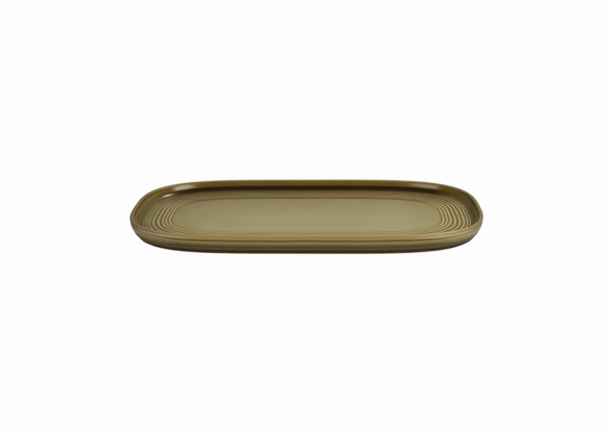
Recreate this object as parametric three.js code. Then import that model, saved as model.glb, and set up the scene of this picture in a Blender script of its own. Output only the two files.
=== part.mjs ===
// Oval stoneware serving plate: a fired clay body, its glaze coat and the glaze under its base.
// Millimetres, +Z up. The origin is the centre of the plane that the foot ring stands on.
import * as THREE from "three";

// Overall size, measured over the glaze
const LENGTH = 330;
const WIDTH = 175;
const HEIGHT = 20;

// Plan outline: a superellipse, whose powers say how straight its long sides and its ends are,
// and how many points it is drawn with
const SIDE_POWER = 4.33;
const END_POWER = 2.91;
const OUTLINE_POINTS = 60;

// Rim and inner wall: a rounded lip, over a wall that leans outwards and meets the floor in a cove
const LIP_RADIUS = 2.1;
const LIP_STEPS = 6;
const WALL_FLARE = THREE.MathUtils.degToRad(22);
const COVE_RISE = 6.5;
const COVE_STEPS = 6;

// Outer wall: it draws in as it comes down to the table, with shallow turning grooves between faint ridges.
// The ridges and grooves take turns at these shares of the way down from the lip to the glaze line.
const WALL_TUCK = 8.6;
const WALL_TURNS = [0.17, 0.3, 0.58, 0.69, 0.82, 1];
const WALL_RELIEF = 0.3;

// Floor and foot of the clay body
const FLOOR_THICKNESS = 6.2;
const FOOT_HEIGHT = 4;
const FOOT_WIDTH = 5;
const FOOT_EDGE = 0.7;
const FOOT_SLOPE = 2;

// Throwing rings in the floor: the outermost crest, the uneven gaps from there inwards, and their relief
const RING_FIRST = 11.3;
const RING_GAPS = [2.3, 2.9, 4, 4, 4.1, 3.2, 3.2];
const RING_RELIEF = 0.5;

// The plain middle of the well starts inside the last ring, and dips a little towards its centre panel
const MIDDLE_MARGIN = 1.6;
const CENTRE_MARGIN = 20;
const CENTRE_DIP = 0.3;

// Glaze: its thickness, the seam between it and the clay, and where it stops above the foot
const GLAZE = 0.5;
const GLAZE_SEAM = 0.1;
const GLAZE_LINE = 1.8;
const BASE_GLAZE_MARGIN = 1;

// Finishes
const bareClay = new THREE.MeshStandardMaterial({ color: 0xb59a78, roughness: 0.9, metalness: 0 });
const oliveGlaze = new THREE.MeshStandardMaterial({ color: 0x8d8257, roughness: 0.22, metalness: 0 });

// Heights and levels that follow from the sizes above
const coatDepth = GLAZE + GLAZE_SEAM;
const floorTop = FOOT_HEIGHT + FLOOR_THICKNESS + coatDepth;
const lipCentre = HEIGHT - LIP_RADIUS;
const grooveLevel = floorTop - RING_RELIEF / 2;
const crestLevel = floorTop + RING_RELIEF / 2;

// A point of the cross-section: how far in from the widest outline, and how high
function at(inset, height) {
  return new THREE.Vector2(inset, height);
}

// One level contour of the plate: the superellipse that lies inset from the widest outline all round
function contour({ x: inset, y: height }) {
  const points = [];
  for (let i = 0; i < OUTLINE_POINTS; i++) {
    const turn = (2 * Math.PI * i) / OUTLINE_POINTS;
    const along = Math.cos(turn);
    const across = Math.sin(turn);
    points.push(
      new THREE.Vector3(
        (LENGTH / 2 - inset) * Math.sign(along) * Math.abs(along) ** (2 / SIDE_POWER),
        (WIDTH / 2 - inset) * Math.sign(across) * Math.abs(across) ** (2 / END_POWER),
        height,
      ),
    );
  }
  return points;
}

// A solid lofted through the contours of a section line, which runs outwards from its top face,
// round its edge and back in to its bottom face. Both faces are closed flat.
function ovalSolid(line) {
  const vertices = line.flatMap(contour);
  const top = vertices.push(new THREE.Vector3(0, 0, line[0].y)) - 1;
  const bottom = vertices.push(new THREE.Vector3(0, 0, line[line.length - 1].y)) - 1;
  const lastRow = (line.length - 1) * OUTLINE_POINTS;
  const faces = [];
  for (let i = 0; i < OUTLINE_POINTS; i++) {
    const next = (i + 1) % OUTLINE_POINTS;
    faces.push(top, i, next);
    faces.push(bottom, lastRow + next, lastRow + i);
    for (let row = 0; row < lastRow; row += OUTLINE_POINTS) {
      const outer = row + OUTLINE_POINTS;
      faces.push(row + i, outer + i, outer + next);
      faces.push(row + i, outer + next, row + next);
    }
  }
  return new THREE.BufferGeometry().setFromPoints(vertices).setIndex(faces);
}

// A section line moved into the plate by a depth, with mitred corners. Its first point borders a flat face.
function sunk(line, depth) {
  const before = at(line[0].x + 1, line[0].y);
  const normals = line.map((point, i) => {
    const step = point.clone().sub(i ? line[i - 1] : before);
    return at(-step.y, step.x).normalize();
  });
  return line.map((point, i) => {
    const following = normals[i + 1] ?? normals[i];
    const mitre = normals[i].clone().add(following).normalize();
    return point.clone().addScaledVector(mitre, depth / mitre.dot(following));
  });
}

// Crests and grooves of the throwing rings, from the innermost groove out to the one at the wall
function ringLine() {
  const crests = [RING_FIRST];
  for (const gap of RING_GAPS) crests.push(crests[crests.length - 1] + gap);
  const line = [at(RING_FIRST - RING_GAPS[0] / 2, grooveLevel)];
  crests.forEach((crest, i) => {
    const gap = RING_GAPS[i] ?? RING_GAPS[RING_GAPS.length - 1];
    line.push(at(crest, crestLevel), at(crest + gap / 2, grooveLevel));
  });
  return line.reverse();
}

// The glazed surface, from the centre of the well out over the rings and the lip, down to the glaze line
function glazedLine() {
  const rings = ringLine();
  const wallFoot = rings.pop();
  const middle = rings[0].x + MIDDLE_MARGIN;
  const lip = new THREE.EllipseCurve(LIP_RADIUS, lipCentre, LIP_RADIUS, LIP_RADIUS, WALL_FLARE, Math.PI);
  const wallTop = lip.getPoint(0);
  const corner = at(wallTop.x + (wallTop.y - grooveLevel) * Math.tan(WALL_FLARE), grooveLevel);
  const upWall = at(-Math.sin(WALL_FLARE), Math.cos(WALL_FLARE));
  const coveTop = corner.clone().addScaledVector(upWall, COVE_RISE);
  const cove = new THREE.QuadraticBezierCurve(wallFoot, corner, coveTop);
  const wall = new THREE.QuadraticBezierCurve(at(0, lipCentre), at(0, lipCentre / 2), at(WALL_TUCK, 0));
  const glazedShare = 1 - GLAZE_LINE / lipCentre;
  const wallLine = WALL_TURNS.map((share, i) => {
    const point = wall.getPoint(glazedShare * share);
    return i % 2 ? point : point.add(at(WALL_RELIEF, 0));
  });
  return [
    at(middle + CENTRE_MARGIN, floorTop - CENTRE_DIP),
    at(middle, floorTop),
    ...rings,
    ...cove.getPoints(COVE_STEPS),
    ...lip.getPoints(LIP_STEPS),
    ...wallLine,
  ];
}

// The foot ring's section, from its outer edge across the face it stands on and up to the base
const footOuter = WALL_TUCK + coatDepth;
const footFace = footOuter + FOOT_EDGE;
const baseEdge = footFace + FOOT_WIDTH + FOOT_SLOPE;
const footLine = [
  at(footOuter, FOOT_EDGE),
  at(footFace, 0),
  at(footFace + FOOT_WIDTH, 0),
  at(baseEdge, FOOT_HEIGHT),
];

// The glaze under the base lies inside the foot ring, with a bevelled edge
const baseGlazeTop = FOOT_HEIGHT - GLAZE_SEAM;
const baseGlazeEdge = baseEdge + BASE_GLAZE_MARGIN;
const baseGlazeLine = [
  at(baseGlazeEdge, baseGlazeTop),
  at(baseGlazeEdge + GLAZE, baseGlazeTop - GLAZE),
];

const outside = glazedLine();
const bodyLine = [...sunk(outside, coatDepth), ...footLine];
const coatLine = [...outside, ...sunk(outside, GLAZE).reverse()];

// A named piece of the plate
function piece(name, line, material) {
  const mesh = new THREE.Mesh(ovalSolid(line), material);
  mesh.name = name;
  return mesh;
}

const plate = new THREE.Group();
plate.name = "oval_plate";
plate.add(
  piece("stoneware_body", bodyLine, bareClay),
  piece("glaze_coat", coatLine, oliveGlaze),
  piece("base_glaze", baseGlazeLine, oliveGlaze),
);

export default plate;
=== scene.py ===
# Oval stoneware plate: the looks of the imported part, in metres, in the part's own frame.
import math

import bpy
import numpy as np
from mathutils import Matrix, Vector


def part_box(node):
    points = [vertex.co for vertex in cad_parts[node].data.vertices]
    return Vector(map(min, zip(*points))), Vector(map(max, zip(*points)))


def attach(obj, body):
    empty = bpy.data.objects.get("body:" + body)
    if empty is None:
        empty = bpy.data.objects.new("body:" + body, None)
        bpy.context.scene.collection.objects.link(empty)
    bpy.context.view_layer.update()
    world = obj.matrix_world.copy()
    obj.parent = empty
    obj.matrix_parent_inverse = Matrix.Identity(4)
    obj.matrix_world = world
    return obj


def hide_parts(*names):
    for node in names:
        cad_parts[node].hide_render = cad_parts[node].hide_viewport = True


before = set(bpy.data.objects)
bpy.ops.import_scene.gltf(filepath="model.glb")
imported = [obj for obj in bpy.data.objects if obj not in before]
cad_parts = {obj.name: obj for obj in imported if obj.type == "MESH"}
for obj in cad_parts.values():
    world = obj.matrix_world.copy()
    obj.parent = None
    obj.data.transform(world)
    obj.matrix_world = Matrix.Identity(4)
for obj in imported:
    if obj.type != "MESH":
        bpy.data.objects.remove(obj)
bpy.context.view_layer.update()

# Sizes over the glaze come from the frame, and the values below repeat the plate's own sizes
coat_low, coat_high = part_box("glaze_coat")
HALF_LENGTH = coat_high.x
HALF_WIDTH = coat_high.y
HEIGHT = coat_high.z
GLAZE_LINE = coat_low.z

# Plan outline: the powers of its superellipse. Inner contours have squarer ends: their end power
# gains this much, and has gained all of it at this inset.
SIDE_POWER = 4.33
END_POWER = 2.91
END_POWER_GAIN = 0.5
END_POWER_INSET = 0.03

# Rim and wall
LIP_RADIUS = 0.0021
LIP_CENTRE = HEIGHT - LIP_RADIUS
WALL_TUCK = 0.0086
WALL_FLARE = math.radians(22)
COVE_RISE = 0.0065
WALL_RELIEF = 0.0003
WALL_TURNS = (0.0, 0.17, 0.3, 0.58, 0.69, 0.82, 1.0)

# Throwing rings: the level of the floor, the outermost crest, the gaps from there inwards, and their relief
FLOOR_TOP = 0.0108
RING_FIRST = 0.0113
RING_GAPS = (0.0023, 0.0029, 0.004, 0.004, 0.0041, 0.0032, 0.0032)
RING_RELIEF = 0.0005
GROOVE_LEVEL = FLOOR_TOP - RING_RELIEF / 2

# The plain middle of the well: its panel dips over a soft slope, and its edge falls a little to the rings
MIDDLE_MARGIN = 0.0016
CENTRE_MARGIN = 0.02
CENTRE_DIP = 0.0003
DIP_SLOPE = 0.008
MIDDLE_EDGE = 0.004
MIDDLE_FALL = 0.00005

# Every flat face is closed across a narrow middle strip, inside this inset
STRIP_HALF_WIDTH = 0.003
STRIP_INSET = HALF_WIDTH - STRIP_HALF_WIDTH

# Glaze: its thickness and the seam between it and the clay
GLAZE = 0.0005
GLAZE_SEAM = 0.0001
COAT_DEPTH = GLAZE + GLAZE_SEAM

# Foot ring, with a rounded outer edge and a rounded step up to the base
FOOT_HEIGHT = 0.004
FOOT_WIDTH = 0.005
FOOT_EDGE = 0.0007
FOOT_SLOPE = 0.002
FOOT_OUTER = WALL_TUCK + COAT_DEPTH
FOOT_FACE = FOOT_OUTER + FOOT_EDGE
BASE_EDGE = FOOT_FACE + FOOT_WIDTH + FOOT_SLOPE
EDGE_OVERHANG = 0.0004
EDGE_ROUNDING = 0.0002
STEP_ROUNDING = 0.0009

# The glaze under the base: its margin to the foot ring, and its rounded edge in shares of its thickness
BASE_GLAZE_MARGIN = 0.001
BASE_EDGE_BULGE = 0.2
BASE_EDGE_REACH = 1.6

# How finely the pieces are drawn: columns round the outline, and rows along each stretch of the section
COLUMNS = 384
SPACING_SAMPLES = 20001
SLOPE_ROWS = 6
CURVE_ROWS = 22
HIDDEN_SLOPE_ROWS = 2
HIDDEN_CURVE_ROWS = 4
BODY_CURVE_ROWS = 11
FOOT_EDGE_ROWS = 5
FOOT_STEP_ROWS = 8
BASE_EDGE_ROWS = 6

# Stretches of the section, counted by its run: floor, rings, cove and inner wall, lip, outer wall
RUNS = 5
RING_RUN = 1
BASE_GLAZE_RUN = 0.3

# Waves round the plate: how much, how many lobes, and by what angle each ring turns them on
LIFT = (0.003, 5, 2.0)
SWELL = (-0.002, 3, 0.0)
WANDER = (0.00016, 3, 1.7)
RIPPLE = (0.000096, 7, -1.1)
RING_SWELL = (0.00012, 2, 2.3)

# The rings lie further in at the ends, and are lower along the sides. The reaches are distances along
# the plate where each sets in and is full. The shift grows and fades along the run.
END_SHIFT = 0.0008
END_REACH = (0.09, 0.12)
SHIFT_RUNS = (0.8, 1, 1.4, 2)
SHIFT_SHARES = (0, 1, 1, 0)
SIDE_LOSS = 0.55
SIDE_REACH = (0.145, 0.115)

# Glaze colours, some of them painted shade, highlight or reflection
OLIVE = (0.322, 0.296, 0.16, 1)
# Painted shade, laid over the well's far side, ends and left
SHADED_OLIVE = (0.2, 0.17, 0.075, 1)
RING_OLIVE = (0.27, 0.225, 0.1, 1)
# Pale ring crests: partly pale glaze, mostly painted highlight
RING_CREST_HIGHLIGHT = (0.72, 0.6, 0.36, 1)
RING_GROOVE = (0.085, 0.052, 0.013, 1)
# Painted shadow of the far wall on the far rings
FAR_RING_SHADE = (0.125, 0.084, 0.022, 1)
# Pooled glaze in the cove, darkened further as painted shade under the wall
COVE_POOL_AND_SHADE = (0.013, 0.005, 0.0005, 1)
COVE_OLIVE = (0.15, 0.11, 0.04, 1)
AMBER = (0.128, 0.079, 0.008, 1)
END_OLIVE = (0.18, 0.142, 0.046, 1)
END_SHADE = (0.09, 0.064, 0.016, 1)
LIP_TONE = (0.29, 0.232, 0.1, 1)
LIP_AMBER = (0.225, 0.158, 0.04, 1)
END_LIP = (0.21, 0.17, 0.07, 1)
EDGE_TONE = (0.38, 0.305, 0.115, 1)
# Painted highlight on the lip's outer edge at the corners
CORNER_EDGE_HIGHLIGHT = (0.5, 0.425, 0.25, 1)
# Painted reflection: the pale band on the outer wall
WALL_REFLECTED_OLIVE = (0.325, 0.248, 0.105, 1)
# Painted reflection on the outer wall at the corners
CORNER_WALL_REFLECTION = (0.4, 0.325, 0.18, 1)
# Painted shade on the lower outer wall
WALL_SHADE = (0.118, 0.092, 0.033, 1)
WALL_BROWN = (0.215, 0.16, 0.07, 1)
# Painted shade at the foot, next to the table
FOOT_SHADE = (0.08, 0.042, 0.004, 1)
BLACK = (0.0, 0.0, 0.0, 1)
WHITE = (1.0, 1.0, 1.0, 1)

# The glaze along the section, from the middle of the well (0) to the glaze line (1). On the outer wall the
# pale band is painted reflection and the glaze below it painted shade, darkest at the foot.
SECTION_TONES = (
    (0.0, OLIVE), (0.19, OLIVE), (0.23, RING_OLIVE), (0.37, RING_OLIVE), (0.41, COVE_OLIVE),
    (0.46, COVE_OLIVE), (0.5, AMBER), (0.61, AMBER), (0.655, LIP_TONE), (0.71, LIP_TONE),
    (0.775, LIP_AMBER), (0.804, EDGE_TONE), (0.834, AMBER), (0.856, WALL_REFLECTED_OLIVE), (0.916, WALL_SHADE),
    (0.946, WALL_BROWN), (0.974, FOOT_SHADE), (1.0, WALL_SHADE),
)

# Zones along the section, on the same scale: where each sets in and is full, and where it fades and ends
WELL_LIMITS = (0.45, 0.4)
RING_ZONE = ((0.2, 0.22), (0.4, 0.45))
POOL_AND_SHADE_ZONE = ((0.22, 0.48), (0.492, 0.529))
END_WALL_ZONE = ((0.4, 0.46), (0.61, 0.64))
END_SHADE_ZONE = ((0.53, 0.56), (0.6, 0.63))
END_LIP_ZONE = ((0.61, 0.64), (0.8, 0.83))
EDGE_HIGHLIGHT_ZONE = ((0.785, 0.8), (0.815, 0.832))
CORNER_REFLECTION_ZONE = ((0.815, 0.835), (0.885, 0.935))
SATIN_ZONE = ((0.55, 0.59), (0.8, 0.84))
SHEEN_ZONE = ((0.37, 0.44), (0.88, 0.95))

# The innermost groove, in whole runs, because it follows the section without drift
LAST_GROOVE_ZONE = ((0.985, 1.0), (1.1, 1.2))

# Places on the plate, in metres from its middle lines: where each sets in and where it is full
ENDS_ACROSS = (0.065, 0.03)
TIPS_ALONG = (0.125, 0.155)
FAR_SIDE = (0.025, 0.05)
FAR_WELL = (-0.02, 0.06)
WELL_ENDS = (0.08, 0.13)
LEFT_WELL = (-0.05, -0.13)
PAST_LEFT_TIP = (-0.149, -0.139)
POOL_AND_SHADE_ENDS = (0.125, 0.15)
EDGE_HIGHLIGHT_ALONG = ((0.09, 0.12), (0.14, 0.156))
CORNER_REFLECTION_ALONG = (0.11, 0.14)

# How strongly each layer of colour covers what is under it, and what is left or lost of it at the ends
FAR_WELL_COVER = 0.6
WELL_ENDS_COVER = 0.3
LEFT_WELL_COVER = 0.15
FAR_RINGS_COVER = 0.85
CREST_COVER = 0.7
GROOVE_COVER = 0.7
LAST_GROOVE_COVER = 0.6
LEFT_TIP_SHARE = 0.25
POOL_AND_SHADE_COVER = 0.95
POOL_AND_SHADE_ENDS_LOSS = 0.65
CORNER_REFLECTION_COVER = 0.7
MOTTLE_COVER = 0.175

# How narrow the pale crests, partly pale glaze and mostly painted highlight, and the dark glaze in the
# grooves are
CREST_POWER = 4.0
GROOVE_POWER = 1.5

# Noises: the value that they lie around, and each one's scale, detail and roughness
NOISE_MEAN = 0.5
DRIFT_NOISE = (55.0, 3.0, 0.55)
MOTTLE_NOISE = (30.0, 5.0, 0.6)
GLOSS_NOISE = (140.0, 3.0, 0.55)
PEEL_NOISE = (420.0, 2.0, 0.55)
SWELL_NOISE = (70.0, 2.0, 0.55)
GRAIN_NOISE = (900.0, 4.0, 0.7)
PATCH_NOISE = (60.0, 3.0, 0.55)
SPECK_NOISE = (700.0, 1.0, 0.55)

# Glaze surface: glossy, more satin on the lip, and hardly mirroring in the well
DRIFT = 0.015
GLAZE_ROUGHNESS = 0.17
GLAZE_ROUGHNESS_SPREAD = 0.05
SATIN = 0.15
SHEEN = 0.5
LEAST_SHEEN = 0.05
PEEL_SHARE = 0.25
GLAZE_BUMP = 0.025
GLAZE_BUMP_DEPTH = 0.0005

# Bare clay
CLAY = (0.42, 0.31, 0.2, 1)
PALE_CLAY = (0.52, 0.4, 0.27, 1)
SPECK = (0.2, 0.13, 0.08, 1)
SPECK_LIMIT = 0.68
CLAY_ROUGHNESS = 0.72
CLAY_ROUGHNESS_SPREAD = 0.2
CLAY_BUMP = 0.4
CLAY_BUMP_DEPTH = 0.0003

# Sockets of the colour mix node, whose names are shared by its sockets of other kinds
MIX_FACTOR = 0
MIX_FIRST = 6
MIX_SECOND = 7
MIX_RESULT = 2

# Table: its colour in the light, and the share of plain white that the camera sees instead
TABLE = (0.3, 0.3, 0.3, 1)
TABLE_WHITE = 0.975
TABLE_HALF_SIZE = 12.0

# Surroundings: what they give to the shaded glaze, and what it mirrors, with a paler low backdrop
FILL = 0.4
FRONT_GLOSS = 0.02
BACK_GLOSS = 0.07
BACKDROP_BEHIND = (0.35, 0.8)
BACKDROP_LOW = (0.65, 0.4)

# Lamps, which all face the plate
KEY_PLACE = (0.58, 0.34, 0.94)
KEY_SIZE = (0.34, 0.3)
KEY_WATTS = 4.7
KEY_TINT = (1.0, 0.97, 0.9)
CARD_SIZE = (0.62, 0.28)
CARD_TINT = (1.0, 0.9, 0.65)
LEFT_CARD = (-0.56, -0.78, 0.56)
LEFT_WATTS = 3.3
RIGHT_CARD = (0.7, -0.66, 0.67)
RIGHT_WATTS = 5.6
FILL_PLACE = (0.35, -0.4, 0.5)
FILL_SIZE = (0.3, 0.3)
FILL_WATTS = 1.6
FILL_TINT = (1.0, 1.0, 1.0)

# The camera, from the photograph
IMAGE_WIDTH = 607
IMAGE_HEIGHT = 431
SENSOR = 36.0
FOCAL_PIXELS = 959.0
CLIP_START = 0.01
CAMERA_DISTANCE = 0.9183
CAMERA_ELEVATION = math.radians(18.79)
CAMERA_TURN = math.radians(1.69)
CAMERA_ROLL = math.radians(-0.51)
CAMERA_TARGET = Vector((0.0, 0.0, 0.00825))
TARGET_PIXEL = (306.6, 216.82)


# Section of the plate: (inset from the widest outline, height) rows, worked out stretch by stretch

def bezier(start, control, end, rows):
    """Points of a quadratic curve, the start left out."""
    t = np.linspace(0, 1, rows + 1)[1:, None]
    start, control, end = map(np.array, (start, control, end))
    return (1 - t) ** 2 * start + 2 * t * (1 - t) * control + t ** 2 * end


def floor_rows(inner_groove, rows):
    """The plain middle of the well: its panel, the slope up from it, and its edge at the rings."""
    middle = inner_groove + MIDDLE_MARGIN
    share = np.linspace(0, 1, rows)
    eased = share * share * (3 - 2 * share)
    slope_insets = middle + CENTRE_MARGIN + DIP_SLOPE * (0.5 - share)
    slope = np.c_[slope_insets, FLOOR_TOP - CENTRE_DIP * (1 - eased)]
    panel = [(STRIP_INSET, FLOOR_TOP - CENTRE_DIP)]
    edge = [(middle + MIDDLE_EDGE, FLOOR_TOP), (middle, FLOOR_TOP - MIDDLE_FALL)]
    return np.concatenate((panel, slope, edge))


def ring_extremes():
    """Insets of grooves and crests in turn, from the innermost groove out to the one at the wall."""
    crests = RING_FIRST + np.concatenate(([0], np.cumsum(RING_GAPS)))
    gaps = RING_GAPS + RING_GAPS[-1:]
    insets = [RING_FIRST - RING_GAPS[0] / 2]
    for crest, gap in zip(crests, gaps):
        insets += [crest, crest + gap / 2]
    return np.array(insets[::-1])


def ring_rows(rows):
    """Insets of the rings as smooth waves, and each row's wave from -1 in a groove to 1 on a crest."""
    extremes = ring_extremes()
    steps = np.arange(rows * (len(extremes) - 1) + 1) / rows
    insets = np.interp(steps, np.arange(len(extremes)), extremes)
    return insets, -np.cos(math.pi * steps)


def cove_rows(outer_groove, wall_top, rows):
    """The cove and the leaning inner wall, from the outermost groove up to the lip."""
    up_wall = np.array((-math.sin(WALL_FLARE), math.cos(WALL_FLARE)))
    corner_inset = wall_top[0] + (wall_top[1] - GROOVE_LEVEL) * math.tan(WALL_FLARE)
    corner = np.array((corner_inset, GROOVE_LEVEL))
    cove_top = corner + COVE_RISE * up_wall
    cove = bezier((outer_groove, GROOVE_LEVEL), corner, cove_top, rows)
    share = np.linspace(0, 1, rows // 2 + 1)[1:, None]
    return np.concatenate((cove, cove_top + (wall_top - cove_top) * share))


def lip_rows(rows):
    """The round lip, from the top of the inner wall over to the widest outline."""
    turn = np.linspace(WALL_FLARE, math.pi, rows + 1)
    return np.c_[LIP_RADIUS * (1 + np.cos(turn)), LIP_CENTRE + LIP_RADIUS * np.sin(turn)]


def wall_rows(rows):
    """The outer wall with its turning grooves, from the lip down to the glaze line."""
    down = np.linspace(0, 1, rows + 1)[1:]
    share = (1 - GLAZE_LINE / LIP_CENTRE) * down
    turns = np.interp(down, WALL_TURNS, range(len(WALL_TURNS)))
    hollow = WALL_RELIEF / 2 * (1 - np.cos(math.pi * turns))
    return np.c_[WALL_TUCK * share ** 2 + hollow, LIP_CENTRE * (1 - share)]


def glazed_section(slope_rows, curve_rows):
    """Rows (inset, height, run, wave) from the middle of the well over the lip to the glaze line."""
    ring_insets, waves = ring_rows(slope_rows)
    lip = lip_rows(curve_rows)
    stretches = (
        floor_rows(ring_insets[0], curve_rows),
        np.c_[ring_insets, FLOOR_TOP + waves * RING_RELIEF / 2],
        cove_rows(ring_insets[-1], lip[0], curve_rows),
        lip[1:],
        wall_rows(2 * curve_rows),
    )
    rows = []
    for zone, line in enumerate(stretches):
        run = zone + (np.arange(len(line)) + 1) / len(line)
        wave = waves if zone == RING_RUN else np.zeros(len(line))
        rows.append(np.c_[line, run, wave])
    return np.concatenate(rows)


def marked(points, run):
    """Section rows with one run value and no wave."""
    points = np.array(points)
    return np.c_[points, np.full(len(points), run), np.zeros(len(points))]


def sunk(line, depth):
    """A section line moved into the plate by a depth, with mitred corners. It starts at a flat face."""
    points = line[:, :2]
    before = points[:1] + (1, 0)
    steps = np.diff(points, axis=0, prepend=before)
    normals = np.c_[-steps[:, 1], steps[:, 0]]
    normals /= np.linalg.norm(normals, axis=1)[:, None]
    following = np.concatenate((normals[1:], normals[-1:]))
    mitre = normals + following
    mitre /= np.linalg.norm(mitre, axis=1)[:, None]
    moved = line.copy()
    moved[:, :2] += mitre * (depth / (mitre * following).sum(1))[:, None]
    return moved


# Pieces lofted through the contours of a section

def graded(value, start, end):
    """A value's way from the start (0) to the end (1)."""
    return np.clip((value - start) / (end - start), 0, 1)


def lobes(wave, turn, ring=1):
    """One of the waves round the plate."""
    amount, count, turn_on = wave
    return amount * np.sin(count * turn + turn_on * ring)


def plan(turns, inset):
    """Plan position on the contour that lies inset from the widest outline."""
    along, across = np.cos(turns), np.sin(turns)
    end_power = END_POWER + END_POWER_GAIN * graded(inset, 0, END_POWER_INSET)
    x = (HALF_LENGTH - inset) * np.sign(along) * np.abs(along) ** (2 / SIDE_POWER)
    y = (HALF_WIDTH - inset) * np.sign(across) * np.abs(across) ** (2 / end_power)
    return x, y


def outline_turns():
    """Superellipse parameters of the columns, evenly spaced along the widest outline."""
    fine = np.linspace(0, 2 * math.pi, SPACING_SAMPLES)
    x, y = plan(fine, 0)
    length = np.concatenate(([0], np.cumsum(np.hypot(np.diff(x), np.diff(y)))))
    return np.interp(np.arange(COLUMNS) * length[-1] / COLUMNS, length, fine)


def hand_made(x, y, z):
    """The slight unevenness of a hand-finished plate. The foot's plane stays flat."""
    turn = np.arctan2(y / HALF_WIDTH, x / HALF_LENGTH)
    lift = 1 + lobes(LIFT, turn)
    swell = 1 + lobes(SWELL, turn)
    return x * swell, y * swell, z * lift


def uneven_rings(line, turns):
    """Insets and heights of a section round the plate, with rings that wander and swell a little."""
    inset, height, run, wave = line.T[:, :, None]
    ring = (run - RING_RUN) * len(RING_GAPS)
    fade = np.sin(graded(run, RING_RUN, RING_RUN + 1) * math.pi)
    inset = inset + fade * (lobes(WANDER, turns, ring) + lobes(RIPPLE, turns, ring))
    at_ends = graded(np.abs(plan(turns, inset)[0]), *END_REACH)
    inset = inset + END_SHIFT * at_ends * np.interp(run, SHIFT_RUNS, SHIFT_SHARES)
    at_sides = graded(np.abs(plan(turns, inset)[0]), *SIDE_REACH)
    rise = fade * lobes(RING_SWELL, turns, ring) - SIDE_LOSS * RING_RELIEF / 2 * at_sides
    return inset, height + wave * rise


def loft_faces(rows):
    """Faces between neighbouring contours, and strips across that close the first and the last contour."""
    faces = []
    for row in range(rows - 1):
        base = row * COLUMNS
        for i in range(COLUMNS):
            j = (i + 1) % COLUMNS
            faces.append((base + i, base + COLUMNS + i, base + COLUMNS + j, base + j))
    last = (rows - 1) * COLUMNS
    for a in range(COLUMNS // 2):
        b = a + 1
        c, d = (COLUMNS - b) % COLUMNS, (COLUMNS - a) % COLUMNS
        for strip, start in (((a, b, c, d), 0), ((d, c, b, a), last)):
            faces.append(list(dict.fromkeys(start + corner for corner in strip)))
    return faces


def loft(name, line, ring_detail=False):
    """A closed piece from a section line that runs from its top face round to its bottom face."""
    turns = outline_turns()
    inset, height, run, wave = line.T[:, :, None]
    if ring_detail:
        inset, height = uneven_rings(line, turns)
    corners = np.stack(hand_made(*plan(turns, inset), height), -1).reshape(-1, 3)
    mesh = bpy.data.meshes.new(name)
    mesh.from_pydata(corners.tolist(), [], loft_faces(len(line)))
    for label, column in (("run", run), ("wave", wave)):
        values = np.repeat(column, COLUMNS).astype(np.float32)
        mesh.attributes.new(label, "FLOAT", "POINT").data.foreach_set("value", values)
    mesh.polygons.foreach_set("use_smooth", np.ones(len(mesh.polygons), bool))
    mesh.validate()
    mesh.update()
    piece = bpy.data.objects.new(name, mesh)
    bpy.context.scene.collection.objects.link(piece)
    return piece


def glaze_skin():
    """The glaze on the well, the lip and the outer wall, drawn finely where it is seen."""
    outside = glazed_section(SLOPE_ROWS, CURVE_ROWS)
    inside = sunk(glazed_section(HIDDEN_SLOPE_ROWS, HIDDEN_CURVE_ROWS), GLAZE)[::-1]
    return loft("glaze_skin", np.concatenate((outside, inside)), ring_detail=True)


def clay_body():
    """The clay under the glaze, with its bare foot ring."""
    inner = FOOT_FACE + FOOT_WIDTH
    edge_start = (FOOT_OUTER - EDGE_OVERHANG, FOOT_EDGE)
    edge = bezier(edge_start, (FOOT_OUTER + EDGE_ROUNDING, 0), (FOOT_FACE, 0), FOOT_EDGE_ROWS)
    step = bezier((inner, 0), (inner + STEP_ROUNDING, 0), (BASE_EDGE, FOOT_HEIGHT), FOOT_STEP_ROWS)
    foot = np.concatenate((edge, [(inner, 0)], step, [(STRIP_INSET, FOOT_HEIGHT)]))
    body = sunk(glazed_section(HIDDEN_SLOPE_ROWS, BODY_CURVE_ROWS), COAT_DEPTH)
    return loft("clay_body", np.concatenate((body, marked(foot, RUNS))))


def base_glaze_skin():
    """The patch of glaze under the base, inside the foot ring."""
    top = FOOT_HEIGHT - GLAZE_SEAM
    bottom = top - GLAZE
    edge = BASE_EDGE + BASE_GLAZE_MARGIN
    bulge = (edge + GLAZE * BASE_EDGE_BULGE, bottom)
    reach = (edge + GLAZE * BASE_EDGE_REACH, bottom)
    rim = bezier((edge, top), bulge, reach, BASE_EDGE_ROWS)
    line = np.concatenate(([(STRIP_INSET, top), (edge, top)], rim, [(STRIP_INSET, bottom)]))
    return loft("base_glaze_skin", marked(line, BASE_GLAZE_RUN))


# Shader nodes

def plug(tree, socket, value):
    """Links a socket to another node's output, or sets it to a plain value."""
    if isinstance(value, bpy.types.NodeSocket):
        tree.links.new(value, socket)
    else:
        socket.default_value = value


def node(tree, kind, inputs):
    """A shader node with some of its inputs set or linked, by name or by number."""
    made = tree.nodes.new(kind)
    for key, value in inputs.items():
        plug(tree, made.inputs[key], value)
    return made


def maths(tree, operation, a, b=0.0):
    """The result of a maths node."""
    made = node(tree, "ShaderNodeMath", {0: a, 1: b})
    made.operation = operation
    return made.outputs[0]


def product(tree, *factors):
    """The factors multiplied together."""
    result = factors[0]
    for factor in factors[1:]:
        result = maths(tree, "MULTIPLY", result, factor)
    return result


def between(tree, value, start, end):
    """A value eased from 0 at the start to 1 at the end."""
    made = node(tree, "ShaderNodeMapRange", {"Value": value, "From Min": start, "From Max": end})
    made.interpolation_type = "SMOOTHSTEP"
    return made.outputs[0]


def within(tree, value, rise, fall):
    """1 between the two pairs of limits, eased to 0 outside them."""
    return product(tree, between(tree, value, *rise), between(tree, value, *reversed(fall)))


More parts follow.
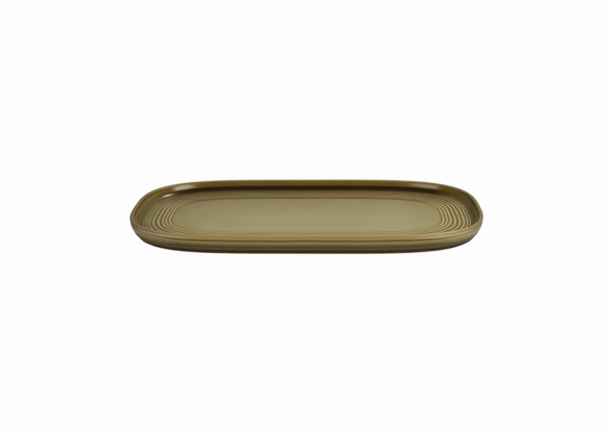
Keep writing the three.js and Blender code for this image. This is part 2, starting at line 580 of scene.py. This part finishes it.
def blend(tree, factor, first, second):
    """The first colour, turned into the second by a factor."""
    made = tree.nodes.new("ShaderNodeMix")
    made.data_type = "RGBA"
    for index, value in ((MIX_FACTOR, factor), (MIX_FIRST, first), (MIX_SECOND, second)):
        plug(tree, made.inputs[index], value)
    return made.outputs[MIX_RESULT]


def ramp(tree, value, stops):
    """A colour eased from stop to stop along a value."""
    made = node(tree, "ShaderNodeValToRGB", {0: value})
    made.color_ramp.interpolation = "EASE"
    elements = made.color_ramp.elements
    while len(elements) < len(stops):
        elements.new(1.0)
    for element, (place, colour) in zip(elements, stops):
        element.position = place
        element.color = colour
    return made.outputs[0]


def noise(tree, place, scale, detail, roughness):
    """Soft noise from 0 to 1."""
    settings = {"Vector": place, "Scale": scale, "Detail": detail, "Roughness": roughness}
    return node(tree, "ShaderNodeTexNoise", settings).outputs[0]


def attribute(tree, name):
    """A value that the piece carries at its vertices."""
    made = tree.nodes.new("ShaderNodeAttribute")
    made.attribute_name = name
    return made.outputs["Fac"]


def bumped(tree, strength, depth, height):
    """A normal that follows a height."""
    settings = {"Strength": strength, "Distance": depth, "Height": height}
    return node(tree, "ShaderNodeBump", settings).outputs[0]


def new_material(name):
    """A material, its node tree, its shader and the place on the piece."""
    material = bpy.data.materials.new(name)
    material.use_nodes = True
    tree = material.node_tree
    place = tree.nodes.new("ShaderNodeTexCoord").outputs["Object"]
    return material, tree, tree.nodes["Principled BSDF"], place


# Materials. The glaze's colour is built up in layers of (factor, colour).

def well_layers(tree, run, lengthways, crossways, along):
    """Painted shade in the well: a darker olive at the far side, the ends and the left, where less light
    falls, and browner rings at the far side in the far wall's shadow.
    """
    in_well = between(tree, run, *WELL_LIMITS)
    far_well = between(tree, crossways, *FAR_WELL)
    well_ends = between(tree, along, *WELL_ENDS)
    left_well = between(tree, lengthways, *LEFT_WELL)
    far_ring_shade = product(tree, between(tree, crossways, *FAR_SIDE), within(tree, run, *RING_ZONE))
    return (
        (product(tree, far_well, in_well, FAR_WELL_COVER), SHADED_OLIVE),
        (product(tree, well_ends, in_well, WELL_ENDS_COVER), SHADED_OLIVE),
        (product(tree, left_well, in_well, LEFT_WELL_COVER), SHADED_OLIVE),
        (product(tree, far_ring_shade, FAR_RINGS_COVER), FAR_RING_SHADE),
    )


def end_layers(tree, run, along, across):
    """A greener wall and lip at the ends of the plate, with a painted shadow line under the lip."""
    at_ends = between(tree, across, *ENDS_ACROSS)
    at_tips = between(tree, along, *TIPS_ALONG)
    return (
        (product(tree, at_ends, within(tree, run, *END_WALL_ZONE)), END_OLIVE),
        (product(tree, at_ends, within(tree, run, *END_SHADE_ZONE)), END_SHADE),
        (product(tree, at_tips, within(tree, run, *END_LIP_ZONE)), END_LIP),
    )


def ring_layers(tree, lengthways, crossways):
    """Pale ring crests, partly pale glaze and mostly painted highlight, and dark glaze in the grooves; both
    fainter at the left tip, painted to follow the weaker light there.
    """
    wave = attribute(tree, "wave")
    crest = maths(tree, "POWER", maths(tree, "MAXIMUM", wave, 0.0), CREST_POWER)
    hollow = maths(tree, "MAXIMUM", product(tree, wave, -1.0), 0.0)
    groove = maths(tree, "POWER", hollow, GROOVE_POWER)
    # The fainter rings at the left tip are painted to follow the weaker light there
    past_tip = product(tree, between(tree, lengthways, *PAST_LEFT_TIP), 1 - LEFT_TIP_SHARE)
    shown = maths(tree, "ADD", past_tip, LEFT_TIP_SHARE)
    far_side = between(tree, crossways, *FAR_SIDE)
    last_groove = within(tree, attribute(tree, "run"), *LAST_GROOVE_ZONE)
    return (
        (product(tree, crest, shown, CREST_COVER), RING_CREST_HIGHLIGHT),
        (product(tree, groove, shown, GROOVE_COVER), RING_GROOVE),
        (product(tree, last_groove, far_side, LAST_GROOVE_COVER), RING_GROOVE),
    )


def rim_layers(tree, run, along):
    """Dark brown in the cove, partly pooled glaze and partly painted shade, less of it at the ends; and at
    the corners a painted highlight on the lip's edge and a painted reflection on the outer wall.
    """
    # Pooled glaze and painted shade in the cove, less of both at the ends
    less_at_ends = product(tree, between(tree, along, *POOL_AND_SHADE_ENDS), POOL_AND_SHADE_ENDS_LOSS)
    pool_and_shade = maths(tree, "SUBTRACT", POOL_AND_SHADE_COVER, less_at_ends)
    # Painted highlight on the lip's edge and painted reflection on the outer wall, both at the corners
    edge = within(tree, along, *EDGE_HIGHLIGHT_ALONG)
    corner = between(tree, along, *CORNER_REFLECTION_ALONG)
    return (
        (product(tree, pool_and_shade, within(tree, run, *POOL_AND_SHADE_ZONE)), COVE_POOL_AND_SHADE),
        (product(tree, within(tree, run, *EDGE_HIGHLIGHT_ZONE), edge), CORNER_EDGE_HIGHLIGHT),
        (product(tree, within(tree, run, *CORNER_REFLECTION_ZONE), corner, CORNER_REFLECTION_COVER), CORNER_WALL_REFLECTION),
    )


def glaze_colour(tree, place, run):
    """The glaze's colour along the section, with its thicker and thinner places and the painted shade,
    highlights and reflections round the plate.
    """
    split = node(tree, "ShaderNodeSeparateXYZ", {"Vector": place})
    lengthways, crossways = split.outputs["X"], split.outputs["Y"]
    along = maths(tree, "ABSOLUTE", lengthways)
    across = maths(tree, "ABSOLUTE", crossways)
    layers = (
        *well_layers(tree, run, lengthways, crossways, along),
        *end_layers(tree, run, along, across),
        *ring_layers(tree, lengthways, crossways),
        *rim_layers(tree, run, along),
        (product(tree, noise(tree, place, *MOTTLE_NOISE), MOTTLE_COVER), BLACK),
    )
    tone = ramp(tree, run, SECTION_TONES)
    for factor, colour in layers:
        tone = blend(tree, factor, tone, colour)
    return tone


def glaze_material():
    """The reactive glaze, which follows the section with a slight drift."""
    material, tree, shader, place = new_material("olive_reactive_glaze")
    uneven = maths(tree, "SUBTRACT", noise(tree, place, *DRIFT_NOISE), NOISE_MEAN)
    along_section = product(tree, attribute(tree, "run"), 1 / RUNS)
    run = maths(tree, "ADD", along_section, product(tree, uneven, DRIFT))
    spread = product(tree, noise(tree, place, *GLOSS_NOISE), GLAZE_ROUGHNESS_SPREAD)
    gloss = maths(tree, "ADD", spread, GLAZE_ROUGHNESS)
    satin = product(tree, within(tree, run, *SATIN_ZONE), SATIN)
    sheen = product(tree, within(tree, run, *SHEEN_ZONE), SHEEN)
    peel = product(tree, noise(tree, place, *PEEL_NOISE), PEEL_SHARE)
    height = maths(tree, "ADD", peel, noise(tree, place, *SWELL_NOISE))
    plug(tree, shader.inputs["Base Color"], glaze_colour(tree, place, run))
    plug(tree, shader.inputs["Roughness"], maths(tree, "ADD", gloss, satin))
    plug(tree, shader.inputs["Specular IOR Level"], maths(tree, "MAXIMUM", sheen, LEAST_SHEEN))
    plug(tree, shader.inputs["Normal"], bumped(tree, GLAZE_BUMP, GLAZE_BUMP_DEPTH, height))
    return material


def clay_material():
    """The sandy, speckled clay of the foot ring."""
    material, tree, shader, place = new_material("bare_stoneware")
    grain = noise(tree, place, *GRAIN_NOISE)
    clay = blend(tree, noise(tree, place, *PATCH_NOISE), CLAY, PALE_CLAY)
    specks = maths(tree, "GREATER_THAN", noise(tree, place, *SPECK_NOISE), SPECK_LIMIT)
    spread = product(tree, grain, CLAY_ROUGHNESS_SPREAD)
    plug(tree, shader.inputs["Base Color"], blend(tree, specks, clay, SPECK))
    plug(tree, shader.inputs["Roughness"], maths(tree, "ADD", spread, CLAY_ROUGHNESS))
    plug(tree, shader.inputs["Normal"], bumped(tree, CLAY_BUMP, CLAY_BUMP_DEPTH, grain))
    return material


def table_material():
    """A table that keeps a faint shadow, and reads as white to the camera."""
    material = bpy.data.materials.new("pale_table")
    material.use_nodes = True
    tree = material.node_tree
    tree.nodes.remove(tree.nodes["Principled BSDF"])
    diffuse = node(tree, "ShaderNodeBsdfDiffuse", {"Color": TABLE})
    white = node(tree, "ShaderNodeEmission", {"Color": WHITE, "Strength": 1.0})
    seen = tree.nodes.new("ShaderNodeLightPath").outputs["Is Camera Ray"]
    share = product(tree, seen, TABLE_WHITE)
    mix = node(tree, "ShaderNodeMixShader", {0: share, 1: diffuse.outputs[0], 2: white.outputs[0]})
    plug(tree, tree.nodes["Material Output"].inputs["Surface"], mix.outputs[0])
    return material


# Stage, light and camera

def stage_table():
    """The table that the plate stands on."""
    mesh = bpy.data.meshes.new("table")
    half = TABLE_HALF_SIZE
    corners = [(-half, -half, 0), (half, -half, 0), (half, half, 0), (-half, half, 0)]
    mesh.from_pydata(corners, [], [(0, 1, 2, 3)])
    mesh.materials.append(table_material())
    table = bpy.data.objects.new("table", mesh)
    bpy.context.scene.collection.objects.link(table)


def softbox(name, place, size, watts, tint, mirrored=True):
    """An area lamp that faces the middle of the plate."""
    light = bpy.data.lights.new(name, "AREA")
    light.shape = "RECTANGLE"
    light.size, light.size_y = size
    light.energy = watts
    light.color = tint
    lamp = bpy.data.objects.new(name, light)
    lamp.location = place
    lamp.visible_glossy = mirrored
    lamp.rotation_euler = (-Vector(place)).to_track_quat("-Z", "Y").to_euler()
    bpy.context.scene.collection.objects.link(lamp)


def studio_world():
    """White surroundings, which the glaze mirrors only faintly, and more in a low backdrop."""
    world = bpy.data.worlds.new("studio")
    bpy.context.scene.world = world
    world.use_nodes = True
    tree = world.node_tree
    rays = tree.nodes.new("ShaderNodeLightPath").outputs
    way = tree.nodes.new("ShaderNodeTexCoord").outputs["Generated"]
    split = node(tree, "ShaderNodeSeparateXYZ", {"Vector": way})
    behind = between(tree, split.outputs["Y"], *BACKDROP_BEHIND)
    low = between(tree, split.outputs["Z"], *BACKDROP_LOW)
    mirrored = maths(tree, "ADD", product(tree, behind, low, BACK_GLOSS), FRONT_GLOSS)
    shown = maths(tree, "MAXIMUM", rays["Is Camera Ray"], rays["Is Transmission Ray"])
    gloss = product(tree, rays["Is Glossy Ray"], mirrored)
    fill = product(tree, rays["Is Diffuse Ray"], FILL)
    strength = maths(tree, "MAXIMUM", maths(tree, "MAXIMUM", shown, gloss), fill)
    background = tree.nodes["Background"].inputs
    plug(tree, background["Strength"], strength)
    plug(tree, background["Color"], WHITE)


def studio_lamps():
    """A key light at the back right, warm cards at the front, and a fill that isn't mirrored."""
    softbox("key_light", KEY_PLACE, KEY_SIZE, KEY_WATTS, KEY_TINT)
    softbox("left_card", LEFT_CARD, CARD_SIZE, LEFT_WATTS, CARD_TINT)
    softbox("right_card", RIGHT_CARD, CARD_SIZE, RIGHT_WATTS, CARD_TINT)
    softbox("fill_light", FILL_PLACE, FILL_SIZE, FILL_WATTS, FILL_TINT, mirrored=False)


def photo_camera():
    """The camera of the photograph, shifted so that its target falls on the target pixel."""
    data = bpy.data.cameras.new("photo_camera")
    data.sensor_fit = "HORIZONTAL"
    data.sensor_width = SENSOR
    data.lens = FOCAL_PIXELS * SENSOR / IMAGE_WIDTH
    data.shift_x = (IMAGE_WIDTH / 2 - TARGET_PIXEL[0]) / IMAGE_WIDTH
    data.shift_y = (TARGET_PIXEL[1] - IMAGE_HEIGHT / 2) / IMAGE_WIDTH
    data.clip_start = CLIP_START
    camera = bpy.data.objects.new("photo_camera", data)
    back = Vector((0, -math.cos(CAMERA_ELEVATION), math.sin(CAMERA_ELEVATION))) * CAMERA_DISTANCE
    turn = Matrix.Rotation(CAMERA_TURN, 4, "Z")
    tilt = Matrix.Rotation(math.pi / 2 - CAMERA_ELEVATION, 4, "X")
    roll = Matrix.Rotation(CAMERA_ROLL, 4, "Z")
    camera.matrix_world = Matrix.Translation(CAMERA_TARGET + turn @ back) @ turn @ tilt @ roll
    bpy.context.scene.collection.objects.link(camera)
    bpy.context.scene.camera = camera


photo_camera()
stage_table()
studio_world()
studio_lamps()
glaze = glaze_material()
dressed = (
    (glaze_skin(), "glaze_coat", "olive_glaze", glaze),
    (clay_body(), "stoneware_body", "bare_stoneware", clay_material()),
    (base_glaze_skin(), "base_glaze", "olive_glaze", glaze),
)
for piece, cad_node, slot, material in dressed:
    piece.data.materials.append(material)
    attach(piece, "root")
    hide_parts(cad_node)

bpy.context.scene.view_settings.view_transform = "Standard"
